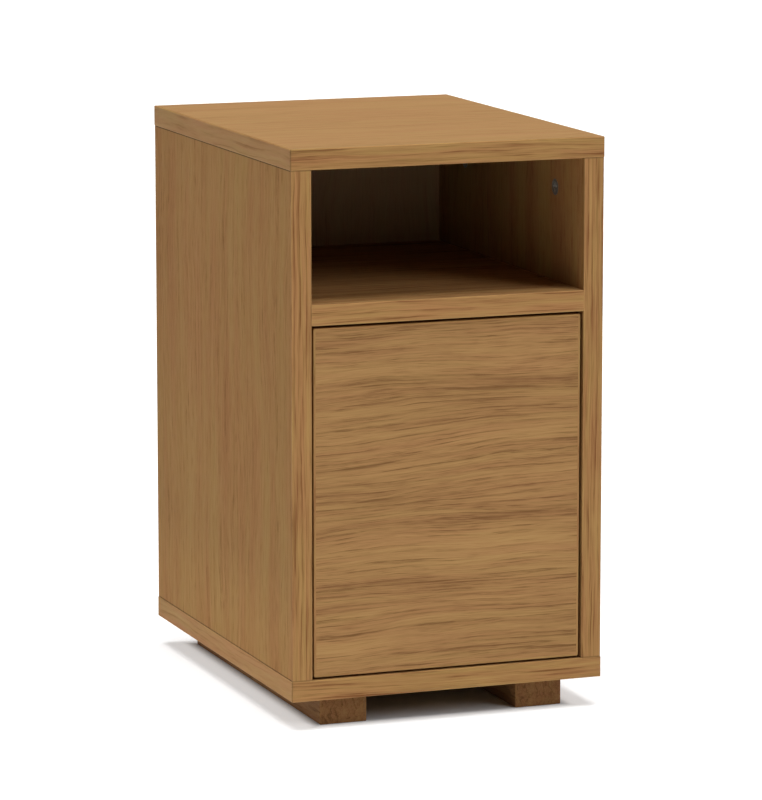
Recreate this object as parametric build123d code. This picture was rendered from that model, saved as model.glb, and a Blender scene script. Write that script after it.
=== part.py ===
from build123d import *
import os

# Bedside cabinet of oak-veneered board: an open niche under the top, a cupboard with an inset
# push-to-open door below it, and two solid oak runners to stand on.
#
# Millimetres. +Z is up, the door faces -Y and +X is to the right of someone facing the door.
# The origin is on the floor, under the centre of the top panel.

# ---- Carcass --------------------------------------------------------------------------------
WIDTH = 300.0  # over the ends of the top and bottom panels
DEPTH = 392.0
HEIGHT = 525.0
BOARD = 19.0
NICHE_HEIGHT = 120.0
SIDE_SET_IN = 0.5  # the side panels stand this far inside the ends of the top and bottom
LIPPING = 2.0  # thickness of the oak strips glued on the boards' edges
ARRIS = 0.8  # rounding of the strips' outer corners

RUNNER_HEIGHT = 27.0
RUNNER_WIDTH = 45.0
RUNNER_SIDE_INSET = 32.4  # from the end of the bottom panel
RUNNER_FRONT_INSET = 17.0
RUNNER_BACK_INSET = 22.0
RUNNER_ARRIS = 1.2

BACK_THICKNESS = 6.0
BACK_RECESS = 25.0  # from the rear edge of the carcass to the back of the panel
GROOVE_DEPTH = 7.0
GROOVE_SPARE = 0.1  # air on each face of the back panel in its groove
GROOVE_END_SPARE = 0.5  # air at the back panel's edges

# ---- Carcass fittings: cam locks, their bolts, and dowels ------------------------------------
CAM_RADIUS = 7.5
CAM_DEPTH = 12.5
CAM_BORE_DEPTH = 12.7
CAM_DISTANCE = 34.0  # from the cam's centre to the panel it pulls on
CAM_FROM_FRONT = 69.0
CAM_SPACING = 224.0  # front cam to rear cam, seven steps of the 32 mm system
SYSTEM_STEP = 32.0
BOLT_GRIP = 11.0  # length of thread in the pulled panel
BOLT_RADIUS = 3.0
BOLT_HOLE_RADIUS = 3.7
DOWEL_RADIUS = 4.0
DOWEL_LENGTH = 30.0
DOWEL_END_SPARE = 1.0

# ---- Door -------------------------------------------------------------------------------------
DOOR_RECESS = 1.5  # the door's front stands behind the carcass edge
DOOR_GAP_LEFT = 2.0
DOOR_GAP_RIGHT = 2.5
DOOR_GAP_TOP = 2.5
DOOR_GAP_BOTTOM = 2.0
DOOR_CORNER_RADIUS = 1.6
DOOR_ARRIS = 0.8

# ---- Concealed cup hinges ---------------------------------------------------------------------
HINGE_FROM_DOOR_END = 65.0
CUP_RADIUS = 17.4
CUP_BORE_RADIUS = 17.5
CUP_BORING_DISTANCE = 5.0  # from the door's edge to the rim of the bore
CUP_DEPTH = 12.4
CUP_BORE_DEPTH = 12.5
CUP_WALL = 0.8
CUP_FLANGE = 1.2
CUP_SCREW_SPACING = 48.0
CUP_SCREW_OFFSET = 6.0  # from the cup's centre, away from the hinge edge
PIVOT_FROM_CUP = 10.0  # from the cup's centre, away from the hinge edge
PIVOT_DEPTH = 8.5  # below the back face of the door
PIN_RADIUS = 1.25
PIN_CLEARANCE = 0.05
EYE_RADIUS = 2.6
ARM_THICKNESS = 2.4
ARM_NOSE_HEIGHT = 10.0
PLATE_SCREW_SPACING = 32.0
PLATE_SETBACK = 57.5  # from the carcass front to the plate's screws: 37 mm plus the inset door

# ---- Push latch -------------------------------------------------------------------------------
LATCH_X = 117.0
LATCH_WIDTH = 18.0
LATCH_HEIGHT = 20.0
LATCH_LENGTH = 62.0
LATCH_EAR = 3.0  # thickness of the screw ears
LATCH_SETBACK = 3.5  # from the back of the door to the housing
PLUNGER_DROP = 13.0  # from the shelf's underside to the plunger's axis
PLUNGER_RADIUS = 3.9
PLUNGER_CLEARANCE = 0.1
PLUNGER_LENGTH = 36.0
MAGNET_LENGTH = 3.0
STRIKE_RADIUS = 6.5
STRIKE_THICKNESS = 1.5
STRIKE_AIR = 0.2  # between the strike and the magnet with the door shut
SPRING_RADIUS = 2.9
SPRING_WIRE = 0.7

# ---- Levels and faces worked out from the sizes above -----------------------------------------
FRONT = -DEPTH / 2
REAR = DEPTH / 2
SIDE_OUTER = WIDTH / 2 - SIDE_SET_IN
SIDE_INNER = SIDE_OUTER - BOARD
BOTTOM_LOW = RUNNER_HEIGHT
CUPBOARD_FLOOR = BOTTOM_LOW + BOARD
TOP_LOW = HEIGHT - BOARD
NICHE_FLOOR = TOP_LOW - NICHE_HEIGHT
SHELF_LOW = NICHE_FLOOR - BOARD
BACK_REAR = REAR - BACK_RECESS
BACK_FRONT = BACK_REAR - BACK_THICKNESS
CORE_FRONT = FRONT + LIPPING
CORE_REAR = REAR - LIPPING

DOOR_X = (-SIDE_INNER + DOOR_GAP_LEFT, SIDE_INNER - DOOR_GAP_RIGHT)
DOOR_Y = (FRONT + DOOR_RECESS, FRONT + DOOR_RECESS + BOARD)
DOOR_Z = (CUPBOARD_FLOOR + DOOR_GAP_BOTTOM, SHELF_LOW - DOOR_GAP_TOP)
DOOR_BACK = DOOR_Y[1]

CUP_X = DOOR_X[0] + CUP_BORING_DISTANCE + CUP_BORE_RADIUS
PIVOT_X = CUP_X + PIVOT_FROM_CUP
PIVOT_Y = DOOR_BACK - PIVOT_DEPTH
HINGE_Z = {
    "lower": DOOR_Z[0] + HINGE_FROM_DOOR_END,
    "upper": DOOR_Z[1] - HINGE_FROM_DOOR_END,
}
PLUNGER_Z = SHELF_LOW - PLUNGER_DROP

parts = {}  # node name: list of its solids


# ---- Shapes used by several pieces ------------------------------------------------------------
def block(x, y, z):
    """Box between three (low, high) pairs."""
    low, high = zip(x, y, z)
    size = [b - a for a, b in zip(low, high)]
    centre = [(a + b) / 2 for a, b in zip(low, high)]
    return Pos(*centre) * Box(*size)


def frame(origin, into, along=None):
    """Local frame at origin: local Z points into the material, local X points along."""
    return Plane(origin=origin, x_dir=along, z_dir=into).location


def bar(radius, low, high):
    """Round bar on the local Z axis from low to high."""
    return Pos(0, 0, low) * Cylinder(radius, high - low, align=(Align.CENTER, Align.CENTER, Align.MIN))


def crossbar(radius, low, high):
    """Round bar on the local X axis from low to high."""
    return Rot(0, 90, 0) * bar(radius, low, high)


def cone(radius_low, radius_high, low, high):
    """Cone on the local Z axis."""
    height = high - low
    return Pos(0, 0, low) * Cone(
        radius_low, radius_high, height, align=(Align.CENTER, Align.CENTER, Align.MIN)
    )


def cross_recess(size, top, depth):
    """Screwdriver recess: a cross of two slots with a tapering middle."""
    slot = size * 0.26
    cut = cone(size * 0.34, size * 0.16, top, top + depth)
    for length, width in ((size, slot), (slot, size)):
        cut += block((-length / 2, length / 2), (-width / 2, width / 2), (top, top + depth * 0.6))
    return cut


def pan_screw(shank, length, head, head_height):
    """Pan-head screw: the head stands outside the face, at negative local Z."""
    screw = bar(shank, 0, length - shank) + cone(shank, 0.3, length - shank, length)
    dome = fillet(bar(head, -head_height, 0).edges().sort_by(Axis.Z)[0], head_height * 0.6)
    return screw + dome - cross_recess(head * 1.25, -head_height, head_height * 0.8)


def countersunk_screw(shank, length, head):
    """Countersunk screw: the head's rim is level with the local origin."""
    head_height = head - shank
    screw = cone(head, shank, 0, head_height) + bar(shank, head_height, length - shank)
    screw += cone(shank, 0.3, length - shank, length)
    return screw - cross_recess(head * 1.2, 0, head_height * 0.9)


def countersunk_hole(shank, length, head):
    """The space that a countersunk screw fills."""
    head_height = head - shank
    hole = cone(head, shank, 0, head_height) + bar(shank, head_height, length - shank)
    return hole + cone(shank, 0.3, length - shank, length)


def mirrored(items):
    """The same shapes on both sides of the cabinet."""
    return items + [item.mirror(Plane.YZ) for item in items]


# ---- Cam fittings and dowels ------------------------------------------------------------------
# Each fitting has a local frame: origin at the cam's centre on the board's face, local Z into the
# board and local X towards the panel that the bolt pulls on.
MID_BOARD = BOARD / 2
CAM_Y = (FRONT + CAM_FROM_FRONT, FRONT + CAM_FROM_FRONT + CAM_SPACING)
DOWEL_Y = (CAM_Y[0] + SYSTEM_STEP, CAM_Y[1] - SYSTEM_STEP)


def cam_lock():
    lock = bar(CAM_RADIUS, 0, CAM_DEPTH) - Pos(0, 0, MID_BOARD) * crossbar(BOLT_HOLE_RADIUS, -3.8, CAM_RADIUS + 1)
    lock = lock - cross_recess(CAM_RADIUS * 1.15, 0, 2.6)
    rim_groove = bar(CAM_RADIUS - 0.9, 0, 0.3) - bar(CAM_RADIUS - 1.3, 0, 0.3)
    return lock - rim_groove


def cam_bolt():
    bolt = crossbar(3.1, -2.2, 2.2) + crossbar(1.9, 2.2, 7.0) + crossbar(2.9, 7.0, CAM_DISTANCE)
    bolt += crossbar(BOLT_RADIUS, CAM_DISTANCE, CAM_DISTANCE + BOLT_GRIP)
    return Pos(0, 0, MID_BOARD) * bolt


def cam_hole():
    """Bores for the lock, the bolt's shank and the bolt's thread."""
    shank = crossbar(BOLT_HOLE_RADIUS, 0, CAM_DISTANCE)
    thread = crossbar(BOLT_RADIUS, CAM_DISTANCE, CAM_DISTANCE + BOLT_GRIP)
    return bar(CAM_RADIUS, 0, CAM_BORE_DEPTH) + Pos(0, 0, MID_BOARD) * (shank + thread)


def dowel_span():
    low = CAM_DISTANCE + BOLT_GRIP - DOWEL_LENGTH
    return low, low + DOWEL_LENGTH


def dowel():
    low, high = dowel_span()
    peg = Rot(0, 90, 0) * chamfer(bar(DOWEL_RADIUS, low, high).edges().filter_by(GeomType.CIRCLE), 0.8)
    return Pos(0, 0, MID_BOARD) * peg


def dowel_hole():
    low, high = dowel_span()
    return Pos(0, 0, MID_BOARD) * crossbar(DOWEL_RADIUS, low - DOWEL_END_SPARE, high)


def fitting_frame(joint, y):
    """Frame of one right-hand fitting of a joint."""
    if joint == "top":
        return frame((SIDE_INNER, y, TOP_LOW - CAM_DISTANCE), (1, 0, 0), (0, 0, 1))
    if joint == "bottom":
        return frame((SIDE_INNER, y, CUPBOARD_FLOOR + CAM_DISTANCE), (1, 0, 0), (0, 0, -1))
    return frame((SIDE_INNER - CAM_DISTANCE, y, SHELF_LOW), (0, 0, 1), (1, 0, 0))


fitting_holes = []
for joint in ("top", "bottom", "shelf"):
    cams = [fitting_frame(joint, y) for y in CAM_Y]
    dowels = [fitting_frame(joint, y) for y in DOWEL_Y]
    parts[f"{joint}_cam_locks"] = mirrored([place * cam_lock() for place in cams])
    parts[f"{joint}_cam_bolts"] = mirrored([place * cam_bolt() for place in cams])
    parts[f"{joint}_dowels"] = mirrored([place * dowel() for place in dowels])
    fitting_holes += mirrored([place * cam_hole() for place in cams])
    fitting_holes += mirrored([place * dowel_hole() for place in dowels])


# ---- Boards and their edge strips -------------------------------------------------------------
groove = block(
    (-SIDE_INNER - GROOVE_DEPTH, SIDE_INNER + GROOVE_DEPTH),
    (BACK_FRONT - GROOVE_SPARE, BACK_REAR + GROOVE_SPARE),
    (CUPBOARD_FLOOR - GROOVE_DEPTH, TOP_LOW + GROOVE_DEPTH),
)


def end_panel(low):
    """Top or bottom panel between its four edge strips."""
    half = WIDTH / 2 - LIPPING
    return block((-half, half), (CORE_FRONT, CORE_REAR), (low, low + BOARD))


def end_panel_edging(low):
    """Four strips round a top or bottom panel; the front and rear strips cover the others' ends."""
    half = WIDTH / 2
    whole = block((-half, half), (FRONT, REAR), (low, low + BOARD))
    ring = fillet(whole.edges(), ARRIS) - end_panel(low)
    levels = (low, low + BOARD)
    zones = [
        block((-half, half), (FRONT, CORE_FRONT), levels),
        block((-half, half), (CORE_REAR, REAR), levels),
        block((-half, -half + LIPPING), (CORE_FRONT, CORE_REAR), levels),
        block((half - LIPPING, half), (CORE_FRONT, CORE_REAR), levels),
    ]
    return [ring & zone for zone in zones]


def upright_strip(front, rear):
    """Edge strip of the right side panel; its outer long edges are eased."""
    strip = block((SIDE_INNER, SIDE_OUTER), (front, rear), (CUPBOARD_FLOOR, TOP_LOW))
    outer_y = front if front < 0 else rear
    eased = strip.edges().filter_by(Axis.Z).filter_by_position(Axis.Y, outer_y - 0.01, outer_y + 0.01)
    return fillet(eased, ARRIS)


def side_panel():
    return block((SIDE_INNER, SIDE_OUTER), (CORE_FRONT, CORE_REAR), (CUPBOARD_FLOOR, TOP_LOW))


def shelf_strip():
    strip = block((-SIDE_INNER, SIDE_INNER), (FRONT, CORE_FRONT), (SHELF_LOW, NICHE_FLOOR))
    eased = strip.edges().filter_by(Axis.X).filter_by_position(Axis.Y, FRONT - 0.01, FRONT + 0.01)
    return fillet(eased, ARRIS)


# ---- Runners ----------------------------------------------------------------------------------
RUNNER_X = (WIDTH / 2 - RUNNER_SIDE_INSET - RUNNER_WIDTH, WIDTH / 2 - RUNNER_SIDE_INSET)
RUNNER_Y = (FRONT + RUNNER_FRONT_INSET, REAR - RUNNER_BACK_INSET)
RUNNER_SCREW_SINK = 3.0  # the screw heads sit this deep in the runner's underside
RUNNER_SCREW = {"shank": 2.0, "length": 35.0, "head": 4.0}
RUNNER_SCREW_Y = (-140.0, 0.0, 140.0)

runner_screw_frames = [
    frame((sum(RUNNER_X) / 2, y, RUNNER_SCREW_SINK), (0, 0, 1)) for y in RUNNER_SCREW_Y
]
runner_holes = [place * countersunk_hole(**RUNNER_SCREW) for place in runner_screw_frames]
runner_counterbores = [place * bar(4.5, -RUNNER_SCREW_SINK, 0) for place in runner_screw_frames]


def runner():
    bearer = fillet(block(RUNNER_X, RUNNER_Y, (0, RUNNER_HEIGHT)).edges(), RUNNER_ARRIS)
    return bearer - runner_holes - runner_counterbores


# ---- Hinges -----------------------------------------------------------------------------------
CUP_SCREW = {"shank": 1.75, "length": 14.0, "head": 3.3, "head_height": 1.7}
PLATE_SCREW = {"shank": 2.0, "length": 16.0, "head": 3.9, "head_height": 2.0}
ADJUSTING_SCREW = {"shank": 2.0, "length": 9.0, "head": 3.2, "head_height": 1.4}
WING_THICKNESS = 2.0
PLATE_HEIGHT = 6.0  # of the plate's raised middle, above the side panel
ARM_CHANNEL_WIDTH = 18.0
ARM_CHANNEL_HEIGHT = 9.0
ARM_CHANNEL_WALL = 1.5
ARM_SCREWS_Y = (-132.0, -106.0)
PLATE_Y = (-150.0, -92.0)

PLATE_SCREW_Y = FRONT + PLATE_SETBACK
ARM_WEB_X = -SIDE_INNER + PLATE_HEIGHT + ARM_CHANNEL_HEIGHT - ARM_THICKNESS / 2
# Middle line of the arm's strip in plan. It goes round the path of the door's hinge edge, which
# swings over the pivot inside the cupboard, and enters the cup between its flange and the pin.
ARM_ROUTE = [
    (ARM_WEB_X, -128.0),
    (ARM_WEB_X, -145.5),
    (-85.0, -145.5),
    (-80.0, -151.0),
    (-79.8, -160.5),
    (-92.0, -171.5),
    (-95.0, -177.0),
    (PIVOT_X, PIVOT_Y),
]
ARM_BEND_RADIUS = 2.6


def pivot_bar(radius, half_length):
    return Pos(PIVOT_X, PIVOT_Y, 0) * bar(radius, -half_length, half_length)


def cup_screw_frames():
    x = CUP_X + CUP_SCREW_OFFSET
    half = CUP_SCREW_SPACING / 2
    return [frame((x, DOOR_BACK + CUP_FLANGE, z), (0, -1, 0)) for z in (-half, half)]


def plate_screw_frames():
    half = PLATE_SCREW_SPACING / 2
    x = -SIDE_INNER + WING_THICKNESS
    return [frame((x, PLATE_SCREW_Y, z), (-1, 0, 0)) for z in (-half, half)]


def adjusting_screw_frames():
    x = ARM_WEB_X + ARM_THICKNESS / 2
    return [frame((x, y, 0), (-1, 0, 0)) for y in ARM_SCREWS_Y]


def mouth_frame():
    """Centre of the cup's mouth: local Z into the door, local X away from the hinge edge."""
    return frame((CUP_X, DOOR_BACK, 0), (0, -1, 0), (1, 0, 0))


def hinge_pin():
    """Pin across the cup, held in holes in both walls, its ends flush inside the bore."""
    inside_bore = mouth_frame() * bar(CUP_RADIUS - CUP_WALL / 3, 0, CUP_DEPTH)
    return pivot_bar(PIN_RADIUS, CUP_RADIUS) & inside_bore


def hinge_cup():
    """Drawn steel cup with a flange whose two ears are screwed to the back of the door."""
    shell = fillet(bar(CUP_RADIUS, 0, CUP_DEPTH).edges().sort_by(Axis.Z)[-1], 1.5)
    ear_plate = RectangleRounded(15.0, CUP_SCREW_SPACING + 13.0, 6.0)
    ears = Pos(0, 0, -CUP_FLANGE) * extrude(Pos(CUP_SCREW_OFFSET, 0) * ear_plate, CUP_FLANGE)
    rim = bar(CUP_RADIUS + 1.1, -CUP_FLANGE, 0)
    hollow = bar(CUP_RADIUS - CUP_WALL, -CUP_FLANGE - 1, CUP_DEPTH - CUP_WALL)
    hollow = fillet(hollow.edges().sort_by(Axis.Z)[-1], 0.8)
    cup = mouth_frame() * (shell + rim + ears - hollow)
    holes = [place * bar(CUP_SCREW["shank"], -1, CUP_FLANGE + 1) for place in cup_screw_frames()]
    return cup - holes - hinge_pin()


def hinge_arm():
    """Cranked arm: a channel that straddles the plate, and a strip that ends in the pin's eye."""
    path = FilletPolyline(*ARM_ROUTE, radius=ARM_BEND_RADIUS)
    half_nose = ARM_NOSE_HEIGHT / 2
    strip = Pos(0, 0, -half_nose) * extrude(trace(path, ARM_THICKNESS), ARM_NOSE_HEIGHT)
    half = ARM_CHANNEL_WIDTH / 2
    web_face = ARM_WEB_X + ARM_THICKNESS / 2
    span_y = (PLATE_Y[0] + 3.5, PLATE_Y[1])
    channel = block((web_face - ARM_CHANNEL_HEIGHT, web_face), span_y, (-half, half))
    channel = fillet(channel.edges().filter_by(Axis.Y).sort_by(Axis.X)[-2:], 1.2)
    inside = (-half + ARM_CHANNEL_WALL, half - ARM_CHANNEL_WALL)
    channel -= block((web_face - 20, web_face - ARM_THICKNESS), (-200, 0), inside)
    arm = channel + strip + pivot_bar(EYE_RADIUS, half_nose)
    arm -= pivot_bar(PIN_RADIUS + PIN_CLEARANCE, half_nose + 1)
    return arm - [place * bar(ADJUSTING_SCREW["shank"], -1, 12) for place in adjusting_screw_frames()]


def hinge_plate():
    """Mounting plate: a raised middle under the arm and two wings screwed to the side panel."""
    middle_half = ARM_CHANNEL_WIDTH / 2 - ARM_CHANNEL_WALL - 0.3
    top_face = -SIDE_INNER + PLATE_HEIGHT
    web_underside = ARM_WEB_X - ARM_THICKNESS / 2
    base = block((-SIDE_INNER, top_face), PLATE_Y, (-middle_half, middle_half))
    base = fillet(base.edges().filter_by(Axis.Y).sort_by(Axis.X)[-2:], 1.0)
    pads = [
        block((top_face - 1, web_underside), (y - 5, y + 5), (-middle_half, middle_half))
        for y in ARM_SCREWS_Y
    ]
    wing = RectangleRounded(14.0, PLATE_SCREW_SPACING + 12.0, 5.0)
    wing_place = frame((-SIDE_INNER, PLATE_SCREW_Y, 0), (1, 0, 0), (0, 1, 0))
    plate = base + pads + wing_place * extrude(wing, WING_THICKNESS)
    holes = [place * bar(PLATE_SCREW["shank"], -1, WING_THICKNESS + 1) for place in plate_screw_frames()]
    holes += [place * bar(ADJUSTING_SCREW["shank"], 0, 9.1) for place in adjusting_screw_frames()]
    return plate - holes


door_holes = []
side_holes = []
parts["hinge_cup_screws"] = []
parts["hinge_plate_screws"] = []
parts["hinge_adjusting_screws"] = []
for level, z in HINGE_Z.items():
    lift = Pos(0, 0, z)
    parts[f"{level}_hinge_plate"] = [lift * hinge_plate()]
    parts[f"{level}_hinge_arm"] = [lift * hinge_arm()]
    parts[f"{level}_hinge_cup"] = [lift * hinge_cup()]
    parts[f"{level}_hinge_pin"] = [lift * hinge_pin()]
    for place in cup_screw_frames():
        parts["hinge_cup_screws"].append(lift * place * pan_screw(**CUP_SCREW))
        door_holes.append(lift * place * bar(CUP_SCREW["shank"], 0, CUP_SCREW["length"]))
    for place in plate_screw_frames():
        parts["hinge_plate_screws"].append(lift * place * pan_screw(**PLATE_SCREW))
        side_holes.append(lift * place * bar(PLATE_SCREW["shank"], 0, PLATE_SCREW["length"]))
    for place in adjusting_screw_frames():
        parts["hinge_adjusting_screws"].append(lift * place * pan_screw(**ADJUSTING_SCREW))
    door_holes.append(lift * mouth_frame() * bar(CUP_BORE_RADIUS, 0, CUP_BORE_DEPTH))


# ---- Push latch under the shelf, and its strike on the door -----------------------------------
LATCH_SCREW = {"shank": 1.5, "length": 14.0, "head": 3.0}
STRIKE_SCREW = {"shank": 1.5, "length": 14.0, "head": 2.8}
EAR_LENGTH = 12.0
LATCH_Y = (DOOR_BACK + LATCH_SETBACK, DOOR_BACK + LATCH_SETBACK + LATCH_LENGTH)
MAGNET_TIP = DOOR_BACK + STRIKE_THICKNESS + STRIKE_AIR
PLUNGER_FRONT = MAGNET_TIP + MAGNET_LENGTH
PLUNGER_REAR = PLUNGER_FRONT + PLUNGER_LENGTH
BORE_REAR = LATCH_Y[1] - 4.0
SIDE_EAR_Y = LATCH_Y[0] + 22.0
SPRING_TURNS = 7

latch_frame = frame((LATCH_X, 0, PLUNGER_Z), (0, 1, 0))
rear_ear_screw = (LATCH_X, LATCH_Y[1] + EAR_LENGTH / 2)
side_ear_screw = (LATCH_X - LATCH_WIDTH / 2 - EAR_LENGTH / 2, SIDE_EAR_Y)
latch_screw_frames = [
    frame((x, y, SHELF_LOW - LATCH_EAR), (0, 0, 1)) for x, y in (rear_ear_screw, side_ear_screw)
]
latch_screw_holes = [place * countersunk_hole(**LATCH_SCREW) for place in latch_screw_frames]
strike_frame = frame((LATCH_X, DOOR_BACK + STRIKE_THICKNESS, PLUNGER_Z), (0, -1, 0))
strike_screw_hole = strike_frame * countersunk_hole(**STRIKE_SCREW)


def latch_housing():
    half = LATCH_WIDTH / 2
    levels = (SHELF_LOW - LATCH_HEIGHT, SHELF_LOW)
    ear_levels = (SHELF_LOW - LATCH_EAR, SHELF_LOW)
    body = block((LATCH_X - half, LATCH_X + half), LATCH_Y, levels)
    lower_edges = body.edges().filter_by_position(Axis.Z, levels[0] - 0.01, levels[0] + 0.01)
    body = fillet(lower_edges, 1.5)
    x, y = rear_ear_screw
    body += block((x - half, x + half), (LATCH_Y[1], LATCH_Y[1] + EAR_LENGTH), ear_levels)
    x, y = side_ear_screw
    near = LATCH_X - half
    body += block((near - EAR_LENGTH, near), (y - EAR_LENGTH / 2, y + EAR_LENGTH / 2), ear_levels)
    bore = latch_frame * bar(PLUNGER_RADIUS + PLUNGER_CLEARANCE, LATCH_Y[0], BORE_REAR)
    return body - bore - latch_screw_holes


def latch_spring():
    """Compression spring between the plunger and the back of the housing."""
    length = BORE_REAR - PLUNGER_REAR - SPRING_WIRE - 0.4
    coil = Helix(pitch=length / SPRING_TURNS, height=length, radius=SPRING_RADIUS)
    start = Plane(origin=coil @ 0, z_dir=coil % 0)
    wire = sweep(start * Circle(SPRING_WIRE / 2), path=coil, is_frenet=True)
    return latch_frame * Pos(0, 0, PLUNGER_REAR + SPRING_WIRE / 2 + 0.2) * wire


def strike_plate():
    disc = fillet(bar(STRIKE_RADIUS, 0, STRIKE_THICKNESS).edges().sort_by(Axis.Z)[0], 0.4)
    return strike_frame * disc - strike_screw_hole


parts["latch_housing"] = [latch_housing()]
parts["latch_plunger"] = [latch_frame * bar(PLUNGER_RADIUS, PLUNGER_FRONT, PLUNGER_REAR)]
parts["latch_magnet"] = [latch_frame * bar(PLUNGER_RADIUS, MAGNET_TIP, PLUNGER_FRONT)]
parts["latch_spring"] = [latch_spring()]
parts["latch_screws"] = [place * countersunk_screw(**LATCH_SCREW) for place in latch_screw_frames]
parts["strike_plate"] = [strike_plate()]
parts["strike_plate_screw"] = [strike_frame * countersunk_screw(**STRIKE_SCREW)]


# ---- Door: veneered panel with a strip on each edge -------------------------------------------
def inset(span, amount):
    return span[0] + amount, span[1] - amount


door_core = block(inset(DOOR_X, LIPPING), DOOR_Y, inset(DOOR_Z, LIPPING))


def door_edging():
    whole = block(DOOR_X, DOOR_Y, DOOR_Z)
    whole = fillet(whole.edges().filter_by(Axis.Y), DOOR_CORNER_RADIUS)
    faces = whole.faces().filter_by(Axis.Y)
    ring = fillet(faces.edges(), DOOR_ARRIS) - door_core
    inner_x = inset(DOOR_X, LIPPING)
    inner_z = inset(DOOR_Z, LIPPING)
    zones = [
        block((DOOR_X[0], inner_x[0]), DOOR_Y, DOOR_Z),
        block((inner_x[1], DOOR_X[1]), DOOR_Y, DOOR_Z),
        block(inner_x, DOOR_Y, (DOOR_Z[0], inner_z[0])),
        block(inner_x, DOOR_Y, (inner_z[1], DOOR_Z[1])),
    ]
    return [ring & zone for zone in zones]


parts["door_panel"] = [door_core - door_holes - strike_screw_hole]
parts["door_edging"] = door_edging()


# ---- Carcass ----------------------------------------------------------------------------------
parts["top_panel"] = [end_panel(TOP_LOW) - fitting_holes - groove]
parts["top_edging"] = end_panel_edging(TOP_LOW)
all_runner_holes = mirrored(runner_holes)
parts["bottom_panel"] = [end_panel(BOTTOM_LOW) - fitting_holes - groove - all_runner_holes]
parts["bottom_edging"] = end_panel_edging(BOTTOM_LOW)
parts["right_side_panel"] = [side_panel() - fitting_holes - groove]
parts["left_side_panel"] = [side_panel().mirror(Plane.YZ) - fitting_holes - groove - side_holes]
side_strips = [upright_strip(FRONT, CORE_FRONT), upright_strip(CORE_REAR, REAR)]
parts["right_side_edging"] = side_strips
parts["left_side_edging"] = [strip.mirror(Plane.YZ) for strip in side_strips]
shelf = block((-SIDE_INNER, SIDE_INNER), (CORE_FRONT, BACK_FRONT), (SHELF_LOW, NICHE_FLOOR))
parts["fixed_shelf"] = [shelf - fitting_holes - latch_screw_holes]
parts["shelf_edging"] = [shelf_strip()]
back_half = SIDE_INNER + GROOVE_DEPTH - GROOVE_END_SPARE
back_spare = GROOVE_DEPTH - GROOVE_END_SPARE
parts["back_panel"] = [
    block(
        (-back_half, back_half),
        (BACK_FRONT, BACK_REAR),
        (CUPBOARD_FLOOR - back_spare, TOP_LOW + back_spare),
    )
]
parts["right_runner"] = [runner()]
parts["left_runner"] = [runner().mirror(Plane.YZ)]
runner_screws = [place * countersunk_screw(**RUNNER_SCREW) for place in runner_screw_frames]
parts["runner_screws"] = mirrored(runner_screws)


# ---- One STEP file per node -------------------------------------------------------------------
os.makedirs("parts", exist_ok=True)
for node, pieces in parts.items():
    solids = [solid for piece in pieces for solid in piece.solids()]
    shape = solids[0] if len(solids) == 1 else Compound(children=solids)
    export_step(shape, f"parts/{node}.step")
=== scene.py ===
"""Looks, lights and camera for the bedside cabinet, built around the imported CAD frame.

Everything is in metres in the part's own frame: +Z up, the door faces -Y, the floor is z = 0.
Textures are measured in millimetres. Colours are linear red, green and blue.
"""

import math

import bpy
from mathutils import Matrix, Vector


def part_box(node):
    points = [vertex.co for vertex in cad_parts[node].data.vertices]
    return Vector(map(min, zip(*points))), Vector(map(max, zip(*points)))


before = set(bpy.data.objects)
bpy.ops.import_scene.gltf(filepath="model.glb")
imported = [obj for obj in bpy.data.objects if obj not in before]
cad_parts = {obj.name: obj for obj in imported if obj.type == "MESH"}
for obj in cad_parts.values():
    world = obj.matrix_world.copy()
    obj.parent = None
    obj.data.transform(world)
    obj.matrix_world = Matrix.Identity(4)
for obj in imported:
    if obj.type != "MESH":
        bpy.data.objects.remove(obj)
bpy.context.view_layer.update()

MM = 0.001
WHITE = (1.0, 1.0, 1.0, 1.0)


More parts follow.
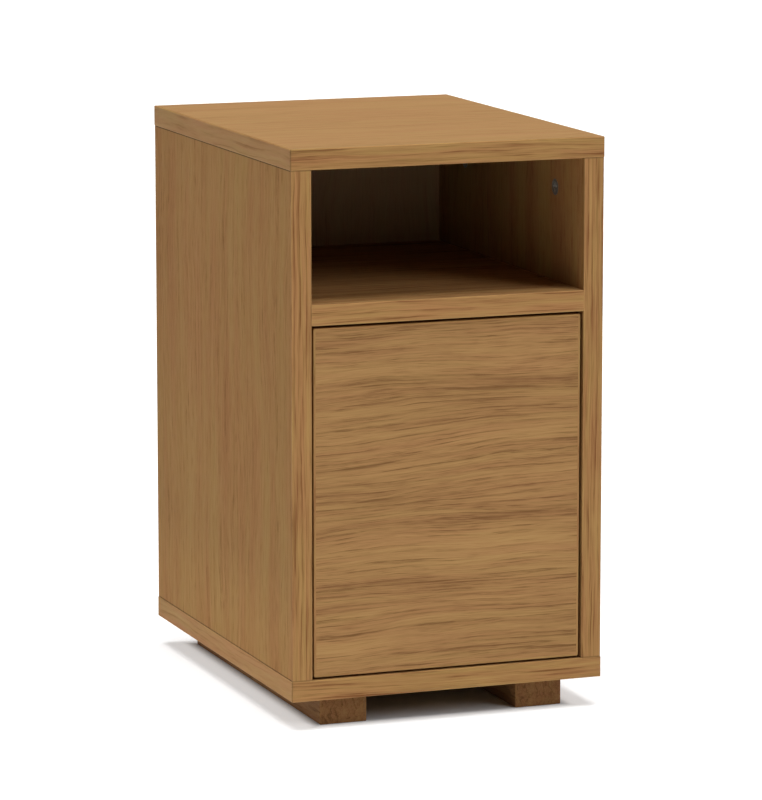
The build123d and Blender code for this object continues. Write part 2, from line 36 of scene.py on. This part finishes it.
# ---- Shader building --------------------------------------------------------------------------
class Graph:
    """A material's node tree, with short methods that add a node and return its output."""

    def __init__(self, name):
        self.material = bpy.data.materials.new(name)
        self.material.use_nodes = True
        self.tree = self.material.node_tree
        self.shader = self.tree.nodes["Principled BSDF"]

    def add(self, kind, **settings):
        node = self.tree.nodes.new(kind)
        for key, value in settings.items():
            setattr(node, key, value)
        return node

    def put(self, socket, value):
        """Links a socket to another node's output, or sets it to a constant."""
        if isinstance(value, bpy.types.NodeSocket):
            self.tree.links.new(value, socket)
        else:
            socket.default_value = value

    def math(self, operation, *values):
        node = self.add("ShaderNodeMath", operation=operation)
        for socket, value in zip(node.inputs, values):
            self.put(socket, value)
        return node.outputs[0]

    def plus(self, a, b):
        return self.math("ADD", a, b)

    def minus(self, a, b):
        return self.math("SUBTRACT", a, b)

    def times(self, a, b):
        return self.math("MULTIPLY", a, b)

    def vector(self, x, y, z):
        node = self.add("ShaderNodeCombineXYZ")
        for socket, value in zip(node.inputs, (x, y, z)):
            self.put(socket, value)
        return node.outputs[0]

    def noise(self, vector, size, detail=2.0, roughness=0.5):
        """Noise whose lumps have this size, in millimetres along each axis of the vector."""
        scaled = self.add("ShaderNodeVectorMath", operation="DIVIDE")
        self.put(scaled.inputs[0], vector)
        scaled.inputs[1].default_value = size
        node = self.add("ShaderNodeTexNoise", noise_dimensions="3D")
        self.put(node.inputs["Vector"], scaled.outputs[0])
        node.inputs["Scale"].default_value = 1.0
        node.inputs["Detail"].default_value = detail
        node.inputs["Roughness"].default_value = roughness
        return node.outputs["Fac"]

    def lines(self, grain, size, detail=2.0, roughness=0.5):
        """Noise drawn out along the grain; size is the length and the width of its lines."""
        length, width = size
        return self.noise(grain, (length, width, width), detail, roughness)

    def spread(self, value, low, high, out_low=0.0, out_high=1.0, smooth=False):
        """Maps low..high to out_low..out_high, and holds the end values outside them."""
        node = self.add("ShaderNodeMapRange", clamp=True)
        node.interpolation_type = "SMOOTHSTEP" if smooth else "LINEAR"
        for socket, item in zip(node.inputs, (value, low, high, out_low, out_high)):
            self.put(socket, item)
        return node.outputs[0]

    def blend(self, factor, a, b):
        """Colour a where factor is 0, b where it is 1."""
        node = self.add("ShaderNodeMix", data_type="RGBA")
        self.put(node.inputs["Factor"], factor)
        colours = [socket for socket in node.inputs if socket.type == "RGBA"]
        for socket, colour in zip(colours, (a, b)):
            self.put(socket, colour)
        return [socket for socket in node.outputs if socket.type == "RGBA"][0]

    def product(self, a, b):
        """Two colours multiplied together."""
        node = self.add("ShaderNodeVectorMath", operation="MULTIPLY")
        self.put(node.inputs[0], a)
        self.put(node.inputs[1], b)
        return node.outputs[0]

    def ramp(self, value, stops):
        node = self.add("ShaderNodeValToRGB")
        elements = node.color_ramp.elements
        while len(elements) < len(stops):
            elements.new(0.5)
        for element, (place, colour) in zip(elements, stops):
            element.position = place
            element.color = (*colour, 1.0)
        self.put(node.inputs[0], value)
        return node.outputs[0]

    def bump(self, height, distance, strength):
        node = self.add("ShaderNodeBump")
        node.inputs["Strength"].default_value = strength
        node.inputs["Distance"].default_value = distance
        self.put(node.inputs["Height"], height)
        self.put(self.shader.inputs["Normal"], node.outputs[0])

    def place(self):
        """x, y and z of the shaded point on the piece, in millimetres."""
        node = self.add("ShaderNodeSeparateXYZ")
        self.put(node.inputs[0], self.add("ShaderNodeTexCoord").outputs["Object"])
        return [self.times(socket, 1 / MM) for socket in node.outputs]

    def finish(self, colour, roughness, **sockets):
        self.put(self.shader.inputs["Base Color"], colour)
        self.put(self.shader.inputs["Roughness"], roughness)
        for name, value in sockets.items():
            self.put(self.shader.inputs[name.replace("_", " ")], value)
        return self.material


# ---- Oak --------------------------------------------------------------------------------------
# One solid oak texture for every wooden piece: u runs along the grain, v across it in the face
# that shows most, w into the wood. A tone from 0, dark, to 1, light, gives the colour. Each layer
# of noise moves the tone by up to half its gain either way; its size is its length and its width.
MEAN_TONE = 0.60
OAK = {
    "light": (0.390, 0.220, 0.085),
    "middle": (0.312, 0.168, 0.065),
    "dark": (0.150, 0.066, 0.022),
    "figure_size": (150.0, 60.0),  # how slowly the figure bends
    "figure_height": 7.0,  # how far it bends across the grain
    "bow": 0.0,  # an arch of the whole figure: how far it has sunk 1 mm away from its middle
    "bow_middle": 0.0,  # where along the grain that middle is
    "wobble_size": (26.0, 5.0),  # the small waves of the single lines
    "wobble_height": 1.3,
    "ring_pitch": 6.0,
    "ring_gain": 0.42,
    "band_size": (380.0, 24.0),
    "band_gain": 0.22,
    "cloud_size": (150.0, 8.0),  # darker patches, which are also the redder ones
    "cloud_gain": 0.28,
    "streak_size": (85.0, 2.4),
    "streak_gain": 0.38,
    "fibre_size": (28.0, 0.95),
    "fibre_gain": 0.36,
    "pore_size": (16.0, 0.62),
    "pore_gain": 0.42,
    "ring_pores": 0.7,  # how much the pores crowd along the rings
    "hue_drift": 0.026,
    "wear_and_highlight_gain": 0.0,  # paler wood along the edges: wear, and painted highlight where the arrises catch light
    "seam": None,  # "z" darkens the two ends along z, "xy" the upright corners: dark joint lines, which on the side panels also paint the shade under the top
    "seam_gain": 0.55,
    "seam_colour": (0.03, 0.014, 0.006, 1.0),
    "roughness": (0.54, 0.68),  # of the lightest and of the darkest wood
    "gloss": 0.05,
}


def bent_grain(g, look, seed, u, v, w):
    """The point in the wood that the grain's bends bring here, and its place across the grain."""
    from_middle = g.minus(u, look["bow_middle"])
    v = g.plus(v, g.times(g.times(from_middle, from_middle), look["bow"]))
    # The seed takes each piece from another part of the tree.
    w = g.plus(w, seed * 37.0)
    u = g.plus(u, seed * 211.0)
    bend = g.lines(g.vector(u, v, w), look["figure_size"], roughness=0.45)
    v = g.plus(v, g.times(g.minus(bend, 0.5), 4.0 * look["figure_height"]))
    wobble = g.lines(g.vector(u, v, w), look["wobble_size"], detail=1.0)
    v = g.plus(v, g.times(g.minus(wobble, 0.5), look["wobble_height"]))
    return g.vector(u, v, w), v


def ring_lines(g, look, grain, v):
    """Late wood, which grows dark towards the end of each growth ring and is missing in places."""
    pitch = look["ring_pitch"]
    uneven = g.lines(grain, (900.0, pitch * 2.2))
    ring_place = g.math("FRACT", g.plus(g.times(v, 1 / pitch), g.times(uneven, 4.5)))
    late_wood = g.math("POWER", ring_place, 4.0)
    ring = g.times(late_wood, g.spread(ring_place, 0.90, 1.0, 1.0, 0.0))
    presence = g.lines(grain, (70.0, pitch * 1.3))
    return g.times(ring, g.spread(presence, 0.36, 0.66, 0.0, 1.8))


def pore_dashes(g, look, grain, ring):
    """Short dark dashes that crowd along the rings and in clusters."""
    dashes = g.lines(grain, look["pore_size"], roughness=0.6)
    cluster = g.spread(g.lines(grain, (70.0, 4.0)), 0.38, 0.66)
    crowd = g.plus(g.plus(g.times(ring, look["ring_pores"]), g.times(cluster, 0.65)), 0.25)
    return g.times(g.spread(dashes, 0.52, 0.68), crowd)


def worn_and_highlit_edges(g, place, box):
    """Paler edges of the piece's box, unevenly, down to 0 a little more than 1 mm inside: wear and
    painted highlight.
    """
    low, high = box
    to_face = [
        g.math("MINIMUM", g.minus(socket, near / MM), g.minus(far / MM, socket))
        for socket, near, far in zip(place, low, high)
    ]
    a, b, c = to_face
    to_edge = g.math("MAXIMUM", g.math("MINIMUM", a, b), g.math("MINIMUM", g.math("MAXIMUM", a, b), c))
    patchiness = g.spread(g.noise(g.vector(*place), (9.0, 9.0, 9.0), detail=3.0), 0.30, 0.62)
    return g.times(g.spread(to_edge, 0.25, 1.3, 1.0, 0.0, smooth=True), g.plus(0.45, patchiness))


def seam_line(g, place, box, axes):
    """1 at the ends of the piece's box along the axis, or at its corners along two axes."""
    low, high = box
    to_ends = [
        g.math("MINIMUM", g.minus(place[i], low[i] / MM), g.minus(high[i] / MM, place[i]))
        for i in ("xyz".index(axis) for axis in axes)
    ]
    return g.spread(g.math("MAXIMUM", to_ends[0], to_ends[-1]), 0.35, 1.30, 1.0, 0.0, smooth=True)


def oak(node, axes, seed, lengthwise=None, **changes):
    """Oak for one piece. axes names the object axes that are u, v and w; lengthwise may replace them."""
    look = {**OAK, **changes}
    g = Graph("oak_" + node)
    place = g.place()
    calm = 0.0
    if lengthwise:
        u, v, w, calm = lengthwise(g, place)
    else:
        u, v, w = (place["xyz".index(axis)] for axis in axes)
    grain, v = bent_grain(g, look, seed, u, v, w)

    ring = ring_lines(g, look, grain, v)
    pore = pore_dashes(g, look, grain, ring)
    cloud = g.lines(grain, look["cloud_size"])
    fibre = g.lines(grain, look["fibre_size"], roughness=0.6)
    layers = (
        (g.lines(grain, look["band_size"]), look["band_gain"]),
        (cloud, look["cloud_gain"]),
        (g.lines(grain, look["streak_size"], detail=3.0, roughness=0.6), look["streak_gain"]),
        (fibre, look["fibre_gain"]),
    )
    tone = MEAN_TONE
    for layer, gain in layers:
        tone = g.plus(tone, g.times(g.minus(g.spread(layer, 0.28, 0.72), 0.5), gain))
    tone = g.minus(tone, g.times(ring, look["ring_gain"]))
    tone = g.minus(tone, g.times(pore, look["pore_gain"]))
    contrast = g.minus(1.0, g.times(calm, 0.55))
    tone = g.plus(MEAN_TONE, g.times(g.minus(tone, MEAN_TONE), contrast))
    # Paler edges: wear, and painted highlight along the arrises.
    if look["wear_and_highlight_gain"]:
        tone = g.plus(tone, g.times(worn_and_highlit_edges(g, place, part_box(node)), look["wear_and_highlight_gain"]))

    colour = g.ramp(tone, [(0.0, look["dark"]), (0.5, look["middle"]), (1.0, look["light"])])
    d = look["hue_drift"]
    redder = (1.0 + d, 1.0 - d, 1.0 + 0.4 * d, 1.0)
    yellower = (1.0 - d, 1.0 + d, 1.0 - 1.2 * d, 1.0)
    colour = g.product(colour, g.blend(g.spread(cloud, 0.32, 0.68), redder, yellower))
    # Dark joint lines; on the side panels they also paint the shade in the gap under the top.
    if look["seam"]:
        seam = seam_line(g, place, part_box(node), look["seam"])
        colour = g.blend(g.times(seam, look["seam_gain"]), colour, look["seam_colour"])

    g.bump(g.minus(g.times(fibre, 0.5), g.times(pore, 0.8)), 0.12 * MM, 0.35)
    low, high = look["roughness"]
    return g.finish(colour, g.spread(tone, 0.2, 0.8, high, low), Specular_IOR_Level=look["gloss"])


def strips_along_x_or_y(g, place):
    """Grain of the strips round a top or bottom panel: X in the front and rear ones, Y at the ends.

    The last value is 1 in the end strips, whose grain is calmer."""
    x, y, z = place
    front = g.math("GREATER_THAN", g.math("ABSOLUTE", y), frame_half_depth)
    turned = g.minus(1.0, front)
    u = g.plus(g.times(x, front), g.times(y, turned))
    v = g.plus(g.times(z, front), g.times(z, g.times(turned, 0.45)))
    w = g.plus(g.times(y, front), g.times(x, turned))
    return u, v, w, turned


def strips_along_x_or_z(g, place):
    """Grain of the strips round the door: Z in the upright ones, X in the others."""
    x, y, z = place
    upright = g.math("GREATER_THAN", g.math("ABSOLUTE", g.minus(x, door_middle)), door_half_width)
    level = g.minus(1.0, upright)
    u = g.plus(g.times(x, level), g.times(z, upright))
    w = g.plus(g.times(z, level), g.times(x, upright))
    return u, y, w, 0.0


frame_half_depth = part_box("top_panel")[1][1] / MM
door_low, door_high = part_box("door_panel")
door_middle = (door_low[0] + door_high[0]) / 2 / MM
door_half_width = (door_high[0] - door_low[0]) / 2 / MM


# ---- Metal and plastic ------------------------------------------------------------------------
def metal(name, colour, roughness, seed):
    """Plated or cast metal with fine scratches and slightly uneven gloss."""
    g = Graph(name)
    point = g.vector(*[g.plus(socket, seed * 17.0) for socket in g.place()])
    patches = g.noise(point, (6.0, 6.0, 6.0), detail=3.0)
    scratches = g.noise(point, (0.25, 0.25, 0.25), detail=3.0)
    dull = tuple(channel * 0.72 for channel in colour)
    tint = g.blend(g.spread(patches, 0.3, 0.7), (*dull, 1.0), (*colour, 1.0))
    rough = g.plus(g.spread(patches, 0.3, 0.7, roughness + 0.10, roughness), g.times(scratches, 0.08))
    g.bump(scratches, 0.02 * MM, 0.25)
    return g.finish(tint, rough, Metallic=1.0)


def plastic(name, colour, seed):
    """Moulded plastic with a fine spark-eroded grain."""
    g = Graph(name)
    point = g.vector(*[g.plus(socket, seed * 13.0) for socket in g.place()])
    cloud = g.noise(point, (9.0, 9.0, 9.0))
    spark = g.noise(point, (0.22, 0.22, 0.22))
    light = tuple(min(1.0, channel * 1.12) for channel in colour)
    tint = g.blend(g.spread(cloud, 0.3, 0.7), (*colour, 1.0), (*light, 1.0))
    g.bump(spark, 0.03 * MM, 0.4)
    return g.finish(tint, g.spread(spark, 0.3, 0.7, 0.42, 0.56))


# ---- Kinds of oak -----------------------------------------------------------------------------
TOP_VENEER = {
    "light": (0.374, 0.214, 0.085), "middle": (0.320, 0.175, 0.069),
    "band_gain": 0.18, "cloud_gain": 0.16, "streak_gain": 0.20, "ring_gain": 0.10,
    "pore_gain": 0.14, "gloss": 0.14,
}
# Darker and calmer than the top's veneer: painted shade, so that the niche reads darker.
SHADED_BACK_VENEER = {
    **TOP_VENEER,
    "light": (0.325, 0.196, 0.090), "middle": (0.275, 0.159, 0.071),
    "band_gain": 0.08, "streak_gain": 0.08,
}
SIDE_VENEER = {
    "light": (0.345, 0.192, 0.069), "middle": (0.283, 0.147, 0.050), "dark": (0.165, 0.075, 0.024),
    "figure_size": (190.0, 90.0), "figure_height": 9.0, "ring_pitch": 13.0, "ring_gain": 0.14,
    "band_gain": 0.16, "cloud_gain": 0.20, "cloud_size": (240.0, 26.0),
    "streak_gain": 0.12, "streak_size": (55.0, 1.8), "pore_gain": 0.44, "pore_size": (15.0, 0.62),
    # The strong seam darkening here is painted shade under the top, as well as the joint line.
    "ring_pores": 1.2, "hue_drift": 0.03, "seam": "z", "seam_gain": 0.8, "gloss": 0.02,
}
DOOR_VENEER = {
    "light": (0.378, 0.213, 0.083), "middle": (0.300, 0.162, 0.063), "dark": (0.160, 0.078, 0.028),
    "bow": 0.00013, "bow_middle": 80.0, "figure_size": (280.0, 80.0), "figure_height": 8.0,
    "ring_gain": 0.40, "band_gain": 0.50, "streak_gain": 0.34, "streak_size": (120.0, 1.35),
    "cloud_gain": 0.33, "fibre_gain": 0.44, "pore_gain": 0.50, "pore_size": (24.0, 0.48),
    "ring_pores": 1.3, "hue_drift": 0.018,
}
STRIP = {
    "light": (0.382, 0.212, 0.079), "middle": (0.305, 0.162, 0.060), "dark": (0.165, 0.068, 0.023),
    "hue_drift": 0.032, "figure_height": 1.8, "ring_pitch": 4.6, "ring_gain": 0.52,
    "streak_gain": 0.56, "pore_size": (45.0, 0.62), "pore_gain": 0.28, "cloud_size": (90.0, 5.0),
    # Paler edges: wear, and painted highlight along the arrises.
    "wear_and_highlight_gain": 0.24, "seam_gain": 0.38,
}
RUNNER = {
    "light": (0.22, 0.112, 0.044), "middle": (0.17, 0.081, 0.030), "dark": (0.095, 0.044, 0.016),
    # Paler edges: wear, and painted highlight along the arrises.
    "wear_and_highlight_gain": 0.2,
}
BEECH = {
    "light": (0.62, 0.44, 0.26), "middle": (0.55, 0.37, 0.20), "dark": (0.42, 0.26, 0.13),
    "ring_gain": 0.05,
}


# ---- Materials on the CAD nodes ---------------------------------------------------------------
def dress(material, *nodes):
    for node in nodes:
        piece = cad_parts[node]
        piece.data.materials.clear()
        piece.data.materials.append(material)


def dress_oak(node, *arguments, **changes):
    dress(oak(node, *arguments, **changes), node)


def dress_boards():
    dress_oak("top_panel", "xyz", 1, **TOP_VENEER)
    dress_oak("bottom_panel", "xyz", 3)
    dress_oak("left_side_panel", "zyx", 5, **SIDE_VENEER)
    dress_oak("right_side_panel", "zyx", 6, **SIDE_VENEER)
    dress_oak("fixed_shelf", "xyz", 9)
    dress_oak("back_panel", "zxy", 11, **SHADED_BACK_VENEER)
    dress_oak("door_panel", "xzy", 12, **DOOR_VENEER)


def dress_strips():
    dress_oak("top_edging", "xzy", 2, strips_along_x_or_y, seam="xy", **STRIP)
    dress_oak("bottom_edging", "xzy", 4, strips_along_x_or_y, seam="xy", **STRIP)
    dress_oak("left_side_edging", "zxy", 7, seam="z", **STRIP)
    dress_oak("right_side_edging", "zxy", 8, seam="z", **STRIP)
    dress_oak("shelf_edging", "xzy", 10, **STRIP)
    dress_oak("door_edging", "xzy", 13, strips_along_x_or_z, **STRIP)


def dress_solid_wood():
    dress_oak("left_runner", "yxz", 14, **RUNNER)
    dress_oak("right_runner", "yxz", 15, **RUNNER)
    for seed, node in enumerate(("top_dowels", "bottom_dowels", "shelf_dowels"), 16):
        dress_oak(node, "zxy", seed, **BEECH)


def dress_fittings():
    dress(
        metal("cam_metal", (0.46, 0.44, 0.40), 0.55, 1),
        "top_cam_locks", "bottom_cam_locks", "shelf_cam_locks",
    )
    dress(
        metal("nickel_plate", (0.66, 0.64, 0.60), 0.24, 2),
        "upper_hinge_plate", "lower_hinge_plate", "upper_hinge_arm", "lower_hinge_arm",
        "upper_hinge_cup", "lower_hinge_cup", "strike_plate",
    )
    dress(
        metal("screw_zinc", (0.62, 0.62, 0.60), 0.28, 3),
        "top_cam_bolts", "bottom_cam_bolts", "shelf_cam_bolts", "upper_hinge_pin", "lower_hinge_pin",
        "hinge_plate_screws", "hinge_cup_screws", "hinge_adjusting_screws", "runner_screws",
        "latch_screws", "strike_plate_screw",
    )
    dress(metal("spring_steel", (0.40, 0.40, 0.41), 0.30, 4), "latch_spring")
    dress(metal("magnet", (0.30, 0.30, 0.31), 0.35, 5), "latch_magnet")
    dress(plastic("latch_grey", (0.23, 0.23, 0.225), 6), "latch_housing", "latch_plunger")


# ---- Floor, lights and camera -----------------------------------------------------------------
FLOOR_SIZE = 60.0
FLOOR_WHITE = (0.60, 0.60, 0.60, 1.0)
# A bluish tint of the floor under the cabinet: painted colour of the shade there.
FLOOR_SHADE_TINT = (0.59, 0.63, 0.68, 1.0)
# Painted light: the floor glows outside the runners' outline, which pales the cabinet's shadow around
# its foot.
PAINTED_FLOOR_GLOW = 0.48
GLOW_STARTS = (118.0, 176.0)  # half sides of the rectangle, about the runners' outline, in millimetres


def build_floor():
    """White floor with painted light: a glow outside the runners pales the cabinet's shadow; bluish
    under the cabinet.
    """
    bpy.ops.mesh.primitive_plane_add(size=FLOOR_SIZE, location=(0, 0, 0))
    floor = bpy.context.object
    floor.name = "studio_floor"
    g = Graph("floor_white_painted_glow")
    x, y, _ = g.place()
    beyond_x = g.minus(g.math("ABSOLUTE", x), GLOW_STARTS[0])
    beyond_y = g.minus(g.math("ABSOLUTE", y), GLOW_STARTS[1])
    beyond = g.math("MAXIMUM", beyond_x, beyond_y)
    # The mask: 1 where the floor glows as painted light, 0 under the cabinet, which takes the painted
    # bluish shade tint.
    open_floor = g.spread(beyond, -3.0, 13.0, 0.0, 1.0, smooth=True)
    g.finish(
        g.blend(open_floor, FLOOR_SHADE_TINT, FLOOR_WHITE), 0.9,
        Specular_IOR_Level=0.0,
        Emission_Color=WHITE, Emission_Strength=g.times(open_floor, PAINTED_FLOOR_GLOW),
    )
    floor.data.materials.append(g.material)


def add_lamp(light):
    lamp = bpy.data.objects.new(light.name, light)
    bpy.context.collection.objects.link(lamp)
    return lamp


def sun(name, azimuth, elevation, strength, spread):
    """Distant soft light. Azimuth 0 is in front of the door, 90 at the cabinet's left."""
    light = bpy.data.lights.new(name, "SUN")
    light.energy = strength
    light.angle = math.radians(spread)
    a, e = math.radians(azimuth), math.radians(elevation)
    towards = Vector((-math.sin(a) * math.cos(e), -math.cos(a) * math.cos(e), math.sin(e)))
    add_lamp(light).rotation_euler = towards.to_track_quat("Z", "Y").to_euler()


def build_lights():
    sun("key", -40.0, 32.0, 1.18, 30.0)
    sun("overhead", 0.0, 89.0, 3.95, 40.0)
    # A low lamp over the floor at the left brightens the foot of that side, as a near wall would.
    light = bpy.data.lights.new("floor_lamp", "AREA")
    light.shape = "RECTANGLE"
    light.size, light.size_y = 0.25, 0.5
    light.energy = 0.9
    add_lamp(light).location = (-0.45, -0.02, 0.14)


def build_world():
    """Nearly black overhead, white along the horizon, so that the floor runs out into white."""
    world = bpy.data.worlds.new("studio")
    world.use_nodes = True
    tree = world.node_tree
    split = tree.nodes.new("ShaderNodeSeparateXYZ")
    tree.links.new(tree.nodes.new("ShaderNodeTexCoord").outputs["Generated"], split.inputs[0])
    fade = tree.nodes.new("ShaderNodeMapRange")
    fade.interpolation_type = "SMOOTHSTEP"
    for socket, value in zip(list(fade.inputs)[1:5], (0.01, 0.09, 1.0, 0.03)):
        socket.default_value = value
    tree.links.new(split.outputs["Z"], fade.inputs[0])
    tree.links.new(fade.outputs[0], tree.nodes["Background"].inputs["Strength"])
    tree.nodes["Background"].inputs["Color"].default_value = WHITE
    bpy.context.scene.world = world


def build_camera():
    """A long lens from the front left, a little above the top."""
    camera_data = bpy.data.cameras.new("camera")
    camera_data.lens = 208.72
    camera_data.sensor_width = 36.0
    camera_data.clip_end = 200.0
    camera = bpy.data.objects.new("camera", camera_data)
    bpy.context.collection.objects.link(camera)
    camera.location = (-1.4935, -4.0151, 0.9936)
    aim = Vector((0.34531, 0.92326, -0.16836))
    camera.rotation_euler = aim.to_track_quat("-Z", "Y").to_euler()
    bpy.context.scene.camera = camera


dress_boards()
dress_strips()
dress_solid_wood()
dress_fittings()
build_floor()
build_world()
build_lights()
build_camera()
bpy.context.scene.view_settings.view_transform = "Standard"
